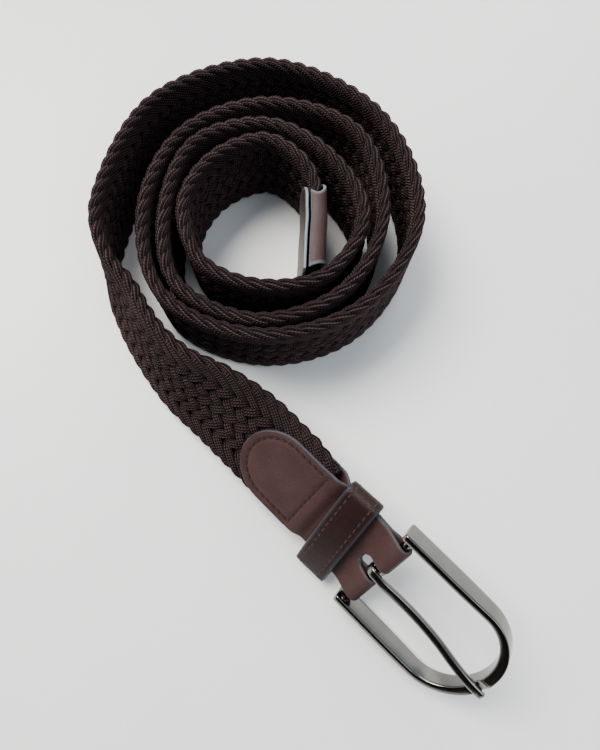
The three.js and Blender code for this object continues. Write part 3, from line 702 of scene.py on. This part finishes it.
def buckleTab():
    # A strip with two round ends and a slot for the prong. Rows follow the strip and columns
    # run across it.
    fine, line = tabLine()
    half = tab["width"] / 2
    total = fine[-1]
    inSlot = np.where(line[:, 0] > -tab["slotLength"])[0]
    slotFrom, slotTo = fine[inSlot[0]], fine[inSlot[-1]]
    ends = half * (1 - np.cos(np.linspace(0, np.pi / 2, 34)))
    nearSlot = np.array([-2.4, -1.6, -0.9, -0.6, -0.35, -0.15, 0, 0.15, 0.35, 0.6, 0.9, 1.3, 1.8, 2.4])
    rowPlaces = np.unique(np.round(np.concatenate([
        [0, 0.04, 0.15, 0.33], ends, np.arange(half, slotFrom - 2.8, 0.5), slotFrom + nearSlot,
        np.linspace(slotFrom + 2.9, slotTo - 2.9, 22), slotTo - nearSlot,
        np.arange(slotTo + 2.8, total - half, 0.5), total - ends,
        total - np.array([0, 0.04, 0.15, 0.33])]), 4))
    slotHalf = prong["width"] / 2 + tab["slotClearance"]
    slotMiddle = tab["low"] - prong["side"]
    rim = np.array([0, 0.12, 0.3, 0.6])
    border = np.array([0.5, 0.3, 0.12, 0])
    right = np.concatenate([slotMiddle + slotHalf + rim,
                            np.arange(slotMiddle + slotHalf + 1.1, half - 0.7, 0.5), half - border])
    left = np.concatenate([-half + border[::-1],
                           -np.arange(slotHalf - slotMiddle + 1.1, half - 0.7, 0.5)[::-1],
                           slotMiddle - slotHalf - rim[::-1]])
    columns = np.concatenate([left, slotMiddle + slotHalf * np.linspace(-1, 1, 7)[1:-1], right])
    toEnd = np.minimum(rowPlaces, total - rowPlaces)
    widthAt = np.where(toEnd < half, np.sqrt(np.maximum(half ** 2 - (half - toEnd) ** 2, 1e-6)), half)
    y = columns[None] * (widthAt / half)[:, None]
    fromSlot = np.minimum(np.abs(rowPlaces - slotFrom), np.abs(rowPlaces - slotTo))
    narrower = np.exp(-(fromSlot / 1.1) ** 2)[:, None] * (toEnd > half)[:, None]
    offSlot = y - slotMiddle
    besideSlot = np.exp(-(np.maximum(0, np.abs(offSlot) - slotHalf) / 2.0) ** 2)
    y = slotMiddle + offSlot * (1 - 0.5 * narrower * besideSlot)
    x = np.interp(rowPlaces, fine, line[:, 0])[:, None]
    z = np.interp(rowPlaces, fine, line[:, 1])[:, None]
    step = 0.3
    along = unit(np.stack([np.interp(rowPlaces + step, fine, line[:, axis])
                           - np.interp(rowPlaces - step, fine, line[:, axis]) for axis in (0, 1)], 1))
    normal = (endRun * -along[:, 1:2] + endOut * along[:, :1])[:, None] + np.zeros(y.shape + (3,))
    sunk = stitching["groove"] * np.exp(-(stitchDistance(x + 0 * y, y) / stitching["grooveWidth"]) ** 2)
    puffed = 0.18 * smoothStep(stitchDistance(x + 0 * y, y), 0.3, 2.5) * (x < stitching["cross"])
    middle = inEndFrame(x, y - tab["low"], z) + normal * (puffed - sunk)[..., None]
    toSide = (widthAt[:, None] - np.abs(y)) * np.where(toEnd < half, 0.9, 1)[:, None]
    edge = np.minimum(toSide, toEnd[:, None] + 0 * y)
    holeHalf = slotHalf * (1 - 0.5 * narrower)
    outsideSlot = np.maximum(np.maximum(slotFrom - rowPlaces, rowPlaces - slotTo)[:, None],
                             np.abs(y - slotMiddle) - holeHalf)
    borders = np.where(outsideSlot < 1e-6, 0, np.minimum(edge, np.maximum(outsideSlot, 0)))
    points, faces, raw = shell(middle, normal, tab["leather"], borders)
    hole = (outsideSlot <= 1e-6).ravel()
    hole = np.concatenate([hole, hole])
    faces = faces[~hole[faces].all(axis=1)]
    return cleaned(meshPiece("tab_leather", points, faces, leatherMaterial, "belt",
                             ("buckle_tab",), attributes={"rawEdge": raw}))


def keeperAxes():
    # The keeper's middle and its own directions, turned with the neck's slope and the skew.
    slopeMiddle, slope = neckAt(-keeper["place"])
    skew = math.radians(keeper["skew"])
    x = np.array([math.cos(skew) * math.cos(slope), math.sin(skew) * math.cos(slope), math.sin(slope)])
    y = np.array([-math.sin(skew), math.cos(skew), 0])
    z = np.cross(x, y)
    return np.array([-keeper["place"], -keeper["low"], slopeMiddle]), x, y, z


def keeperRing(count):
    # The keeper's middle line across the neck: a flat back, round ends and a bowed front.
    back = -tab["leather"] - keeper["backGap"] - keeper["leather"] / 2
    front = tab["leather"] + keeper["frontGap"] + keeper["leather"] / 2
    half = keeper["inside"] / 2 + keeper["leather"] / 2
    corner = keeper["corner"] + keeper["leather"] / 2
    turn = np.linspace(0, np.pi / 2, 9)
    straight = np.linspace(-1, 1, 30)
    bow = keeper["bow"] * (1 - straight ** 2)
    parts = [
        np.stack([half - corner + corner * np.sin(turn), back + corner - corner * np.cos(turn)], 1),
        np.stack([half - corner + corner * np.cos(turn), front - corner + corner * np.sin(turn)], 1),
        np.stack([-straight * (half - corner), front + bow], 1)[1:-1],
        np.stack([-half + corner - corner * np.sin(turn), front - corner + corner * np.cos(turn)], 1),
        np.stack([-half + corner - corner * np.cos(turn), back + corner - corner * np.sin(turn)], 1),
    ]
    line = np.concatenate(parts)
    closed = np.vstack([line, line[:1]])
    length = np.concatenate([[0], np.cumsum(np.linalg.norm(np.diff(closed, axis=0), axis=1))])
    fine = np.linspace(0, length[-1], count, endpoint=False)
    ring = np.stack([np.interp(fine, length, closed[:, 0]), np.interp(fine, length, closed[:, 1])], 1)
    for _ in range(3):
        ring = (np.roll(ring, 1, 0) + 2 * ring + np.roll(ring, -1, 0)) / 4
    tangent = unit(np.roll(ring, -1, 0) - np.roll(ring, 1, 0))
    return ring, np.stack([tangent[:, 1], -tangent[:, 0]], 1)


def keeperLoop():
    # The keeper's ring carried across its width.
    centre, x, y, z = keeperAxes()
    ring, outward = keeperRing(220)
    place = (eased(16, share=0.03) - 0.5) * keeper["width"]
    local = centre + place[:, None, None] * x + ring[None, :, :1] * y + ring[None, :, 1:] * z
    direction = outward[:, :1] * y + outward[:, 1:] * z
    toWorld = np.stack([endRun, endUp, endOut])
    middle = endOrigin + local @ toWorld
    normal = np.broadcast_to(direction @ toWorld, middle.shape)
    borders = np.broadcast_to((keeper["width"] / 2 - np.abs(place))[:, None], middle.shape[:2])
    return leatherPiece("keeper_leather", middle, normal, keeper["leather"], borders, keeperMaterial, "belt",
                        ("keeper_loop",), wrap=True)


tipWrap()
tipBacking()
buckleTab()
keeperLoop()
print("stage: leather")


# Stitches

def stitchMesh(centres, alongs, ups, length, radius):
    # Short plump threads: each a stretched ball of rings, half sunk in the leather.
    ring = np.linspace(0, 2 * np.pi, 8, endpoint=False)
    rise = np.linspace(0, np.pi, 7)
    local = np.stack([
        -np.cos(rise)[:, None] * length / 2 + 0 * ring,
        np.sin(rise)[:, None] ** 0.6 * np.cos(ring) * radius,
        np.sin(rise)[:, None] ** 0.6 * np.sin(ring) * radius], -1).reshape(-1, 3)
    aside = np.cross(ups, alongs)
    points = centres[:, None] + alongs[:, None] * local[None, :, :1] + aside[:, None] * local[None, :, 1:2] \
        + ups[:, None] * local[None, :, 2:]
    faces = gridFaces(len(rise), len(ring), wrap=True)
    every = faces[None] + np.arange(len(centres))[:, None, None] * len(local)
    uv = np.tile(local[:, :2], (len(centres), 1))
    # Painted shade and highlight: crown runs from zero on a stitch's sunk half to one on its top, so its
    # lower half gets the shade colour and its top the highlight colour.
    crown = np.tile(np.clip(local[:, 2] / radius, 0, 1), len(centres))
    return points.reshape(-1, 3), every.reshape(-1, 4), uv, crown


def alongLine(line, pitch):
    # Points and directions at even steps along a polyline.
    length = np.concatenate([[0], np.cumsum(np.linalg.norm(np.diff(line, axis=0), axis=1))])
    places = np.linspace(0, length[-1], max(2, round(length[-1] / pitch)))
    at = np.stack([np.interp(places, length, line[:, axis]) for axis in range(line.shape[1])], 1)
    ahead = np.stack([np.interp(places + 0.1, length, line[:, axis])
                      - np.interp(places - 0.1, length, line[:, axis]) for axis in range(line.shape[1])], 1)
    return at, unit(ahead)


def tabStitches():
    # A U of stitches inside the patch's border and a row across the braid's end, on both
    # layers.
    half = tab["width"] / 2 - stitching["inset"]
    apex = -tab["length"] + tab["width"] / 2
    crossLine = stitching["cross"]
    turn = np.linspace(np.pi / 2, np.pi * 1.5, 40)
    bend = np.stack([apex + half * np.cos(turn), half * np.sin(turn)], 1)
    outline = np.vstack([[crossLine, half], bend, [crossLine, -half], [crossLine, half]])
    at, ahead = alongLine(outline, stitching["pitch"])
    level = halfThickness + seatGap + tab["leather"] - stitching["sink"]
    made = []
    for side in (1, -1):
        centres = inEndFrame(at[:, 0], at[:, 1] - tab["low"], -tail["strapDrop"] + side * level)
        alongs = endRun * ahead[:, :1] + endUp * ahead[:, 1:]
        ups = np.tile(endOut * side, (len(at), 1))
        made.append(stitchMesh(centres, alongs, ups, stitching["length"], stitching["radius"]))
    return made


def keeperStitches():
    # Two rows of stitches round the keeper's outer side.
    centre, x, y, z = keeperAxes()
    ring, outward = keeperRing(200)
    line = np.vstack([ring, ring[:1]])
    at, ahead = alongLine(line, stitching["pitch"])
    normals = np.stack([ahead[:, 1], -ahead[:, 0]], 1)
    toWorld = np.stack([endRun, endUp, endOut])
    made = []
    for side in (1, -1):
        surface = at + normals * (keeper["leather"] / 2 - stitching["sink"])
        local = centre + side * (keeper["width"] / 2 - 2.2) * x + surface[:, :1] * y + surface[:, 1:] * z
        alongs = (ahead[:, :1] * y + ahead[:, 1:] * z) @ toWorld
        ups = (normals[:, :1] * y + normals[:, 1:] * z) @ toWorld
        centres = endOrigin + local @ toWorld
        made.append(stitchMesh(centres, alongs, ups, stitching["length"], stitching["radius"]))
    return made


points, faces, uv, crown = joined(tabStitches())
meshPiece("tab_stitches", points, faces, threadMaterial, "belt", (), uv, {"crown": crown})
points, faces, uv, crown = joined(keeperStitches())
meshPiece("keeper_stitches", points, faces, keeperThread, "belt", (), uv, {"crown": crown})
print("stage: stitches")


# Metal

def roundedRing(halfA, halfB, radius, perCorner=5):
    # A rectangle with round corners as offsets along two directions, counterclockwise.
    points = []
    for cornerA, cornerB, start in ((1, 1, 0), (-1, 1, 90), (-1, -1, 180), (1, -1, 270)):
        angle = np.radians(start + np.linspace(0, 90, perCorner))
        points.append(np.stack([cornerA * (halfA - radius) + radius * np.cos(angle),
                                cornerB * (halfB - radius) + radius * np.sin(angle)], 1))
    return np.concatenate(points)


def capped(rings):
    # Faces of a row of rings with a fan of rings drawn in at both ends.
    count = rings.shape[1]
    first, last = rings[0], rings[-1]
    inner = [first.mean(0) + (first - first.mean(0)) * share for share in (0.02, 0.6, 0.9)]
    outer = [last.mean(0) + (last - last.mean(0)) * share for share in (0.9, 0.6, 0.02)]
    every = np.concatenate([np.stack(inner), rings, np.stack(outer)])
    return every.reshape(-1, 3), gridFaces(len(every), count, wrap=True)


def frameMesh():
    # The long U: a rounded section swept from one arm round the nose to the other arm.
    half = buckle["width"] / 2
    noseStart = buckle["reach"] - buckle["nose"]
    armX = np.concatenate([-buckle["armTail"] + np.array([0, 0.12, 0.35, 0.7]),
                           np.linspace(-1.5, noseStart, 24)[:-1]])
    angle = np.linspace(-np.pi / 2, np.pi / 2, 73)
    outer = np.concatenate([
        np.stack([armX, np.full_like(armX, -half)], 1),
        np.stack([noseStart + buckle["nose"] * np.cos(angle), half * np.sin(angle)], 1),
        np.stack([armX[::-1], np.full_like(armX, half)], 1)])
    inner = np.concatenate([
        np.stack([armX, np.full_like(armX, -half + buckle["armWall"])], 1),
        np.stack([noseStart + (buckle["nose"] - buckle["noseWall"]) * np.cos(angle),
                  (half - buckle["armWall"]) * np.sin(angle)], 1),
        np.stack([armX[::-1], np.full_like(armX, half - buckle["armWall"])], 1)])
    middle = (outer + inner) / 2
    aside = outer - inner
    wall = np.linalg.norm(aside, axis=1)
    aside = aside / wall[:, None]
    depth = buckle["armDepth"] + (buckle["noseDepth"] - buckle["armDepth"]) \
        * smoothStep(middle[:, 0], noseStart / 2, buckle["reach"])
    besideNotch = (middle[:, 1] + buckle["notchSide"]) / buckle["notchHalf"]
    notch = buckle["notchDepth"] * np.exp(-besideNotch ** 4) * (middle[:, 0] > noseStart + 8)
    endRound = np.minimum(1, np.sqrt(np.clip((middle[:, 0] + buckle["armTail"]) / 0.7, 0, 1)) * 0.22 + 0.78)
    base = roundedRing(1, 1, 0.24, 6)
    a = base[:, 0][None] * (wall / 2 * endRound)[:, None]
    b = base[:, 1][None] * (depth / 2 * endRound)[:, None]
    b = b - notch[:, None] * (base[:, 1] > 0.7)[None]
    flat = middle[:, None] + aside[:, None] * a[..., None]
    rings = inEndFrame(flat[..., 0], flat[..., 1], b)
    return capped(rings[:, ::-1])


def barMesh():
    # A round bar: circles carried across the buckle.
    angle = np.linspace(0, 2 * np.pi, 33)[:-1]
    barHalf = buckle["width"] / 2 - buckle["armWall"] + 0.3
    y = np.linspace(-barHalf, barHalf, 20)
    radius = buckle["bar"] / 2
    points = inEndFrame(radius * np.sin(angle)[None], y[:, None], radius * np.cos(angle)[None])
    return capped(points)


def prongMesh():
    # A flat strip wound round the bar that runs on as the tongue: a rounded section along one
    # path.
    landing = buckle["noseDepth"] / 2 + seatGap + prong["thickness"] / 2
    crown = loopRadius + prong["loop"] / 2
    slope = math.tan(math.radians(prong["yaw"]))
    stopsX = np.array([0] + [row[0] * buckle["reach"] for row in prongTable] + [buckle["reach"]])
    stopsZ = np.array([crown] + [row[1] * landing for row in prongTable] + [landing])
    share = np.linspace(0, 1, 70)
    tongue = centripetal(np.stack([stopsX, 0 * stopsX, stopsZ], 1), share)
    turn = np.radians(np.linspace(-245, 80, 46))
    wound = np.stack([crown * np.sin(turn), 0 * turn, crown * np.cos(turn)], 1)
    wound = wound[turn < np.radians(2)]
    path = np.vstack([wound[:-1], tongue])
    path[:, 1] = -prong["side"] - slope * np.maximum(path[:, 0], 0)
    tangent = unit(np.gradient(path, axis=0))
    left = np.array([0.0, 1.0, 0.0]) - tangent * tangent[:, 1:2]
    left = unit(left)
    up = np.cross(tangent, left)
    swell = smoothStep(path[:, 0], 0, loopRadius + 2 * prong["loop"])
    swell[:len(wound)] = 0
    high = (prong["loop"] + (prong["thickness"] - prong["loop"]) * swell) / 2
    tipShare = smoothStep(path[:, 0], buckle["reach"] - 3, buckle["reach"])
    wide = prong["width"] / 2 * (1 - 0.16 * tipShare)
    high = high * (1 - 0.25 * tipShare)
    base = roundedRing(1, 1, 0.55, 6)
    rings = path[:, None] + left[:, None] * (base[None, :, :1] * wide[:, None, None]) \
        + up[:, None] * (base[None, :, 1:] * high[:, None, None])
    return capped(inEndFrame(rings[..., 0], rings[..., 1], rings[..., 2]))


def metalPiece(name, parts, body, nodes):
    # The parts as one piece; the fans' middles are closed by merging their points.
    points, faces = joined(parts)
    return cleaned(meshPiece(name, points, faces, metalMaterial, body, nodes), 0.000001)


metalPiece("frame_metal", [frameMesh(), barMesh()], "buckle", ("buckle_frame",))
metalPiece("prong_metal", [prongMesh()], "prong", ("prong",))
print("stage: metal")


# Floor, light and camera

def floorMaterial():
    # Pale floor with a faint cloud of two near whites.
    made = bpy.data.materials.new("paleFloor")
    made.use_nodes = True
    tree = made.node_tree
    bsdf = tree.nodes["Principled BSDF"]
    place = node(tree, "ShaderNodeTexCoord")
    cloud = node(tree, "ShaderNodeTexNoise", {"Vector": place.outputs["Object"], "Scale": 9.0, "Detail": 6.0,
                                              "Roughness": 0.6})
    colour = node(tree, "ShaderNodeMix", {"Factor": cloud.outputs[0], "A": (0.74, 0.74, 0.725, 1),
                                          "B": (0.83, 0.83, 0.815, 1)}, data_type="RGBA")
    tree.links.new(colour.outputs["Result"], bsdf.inputs["Base Color"])
    bsdf.inputs["Roughness"].default_value = 0.42
    return made


def makeFloor():
    # One large square just under the belt.
    size = 3.0
    mesh = bpy.data.meshes.new("floor")
    corners = [(-size, -size, 0), (size, -size, 0), (size, size, 0), (-size, size, 0)]
    mesh.from_pydata(corners, [], [(0, 1, 2, 3)])
    floor = bpy.data.objects.new("floor", mesh)
    bpy.context.scene.collection.objects.link(floor)
    mesh.materials.append(floorMaterial())
    floor.location.z = -0.0002


def makeWorld():
    # A pale room that is dark and brown on one low side, where the buckle's front face mirrors
    # it.
    world = bpy.data.worlds.new("studio")
    world.use_nodes = True
    tree = world.node_tree
    background = tree.nodes["Background"]
    place = node(tree, "ShaderNodeTexCoord")
    toward = node(tree, "ShaderNodeVectorMath", {0: place.outputs["Generated"], 1: (-0.46, -0.87, 0.17)},
                  operation="DOT_PRODUCT")
    share = node(tree, "ShaderNodeMapRange", {"Value": toward.outputs["Value"], "From Min": 0.45,
                                              "From Max": 0.85}, interpolation_type="SMOOTHSTEP")
    colour = node(tree, "ShaderNodeMix", {"Factor": share.outputs[0], "A": (0.78, 0.87, 1.0, 1),
                                          "B": (0.035, 0.025, 0.022, 1)}, data_type="RGBA")
    tree.links.new(colour.outputs["Result"], background.inputs["Color"])
    background.inputs["Strength"].default_value = 0.62
    bpy.context.scene.world = world


def makeLights():
    # Three soft square lamps that all point at the belt.
    makeWorld()
    for name, spot, size, power, colour in (
            ("key", (-0.50, 0.42, 1.05), 0.7, 34.0, (1.0, 0.965, 0.92)),
            ("fill", (0.75, -0.35, 1.0), 0.9, 7.0, (0.85, 0.92, 1.0)),
            ("rim", (0.35, 0.95, 0.65), 0.5, 6.0, (1.0, 0.98, 0.95))):
        lamp = bpy.data.lights.new(name, "AREA")
        lamp.size = size
        lamp.energy = power
        lamp.color = colour
        holder = bpy.data.objects.new(name, lamp)
        holder.location = spot
        holder.rotation_mode = "QUATERNION"
        holder.rotation_quaternion = Vector(-np.array(spot)).to_track_quat("-Z", "Y")
        bpy.context.scene.collection.objects.link(holder)


# The photo's camera: focal length, the point straight below it and the height in pixels, and its place.
view = {"focal": 600.0, "nadir": (-6.5, 147.8), "height": 750, "eye": (14.9, -100.6, 212.8)}


def makeCamera():
    # The photo's view: solved from the coil's upright walls, whose edges all point at one place
    # in the picture.
    focal = view["focal"]
    down = unit(np.array([*view["nadir"], focal]))
    worldZ = -down
    worldY = unit(np.array([0, 0, 1.0]) - down * down[2])
    worldX = np.cross(worldY, worldZ)
    axes = np.stack([worldX, worldY, worldZ])
    right, imageDown, forward = axes[:, 0], axes[:, 1], axes[:, 2]
    camera = bpy.data.cameras.new("camera")
    camera.sensor_width = 36
    camera.lens = focal / view["height"] * camera.sensor_width
    camera.clip_start = 0.01
    holder = bpy.data.objects.new("camera", camera)
    place = placed(view["eye"])
    columns = np.stack([right, -imageDown, -forward], 1)
    matrix = Matrix.Identity(4)
    for row in range(3):
        for column in range(3):
            matrix[row][column] = columns[row, column]
        matrix[row][3] = place[row]
    holder.matrix_world = matrix
    bpy.context.scene.collection.objects.link(holder)
    bpy.context.scene.camera = holder


makeFloor()
makeLights()
makeCamera()
print("stage: floor, light and camera")
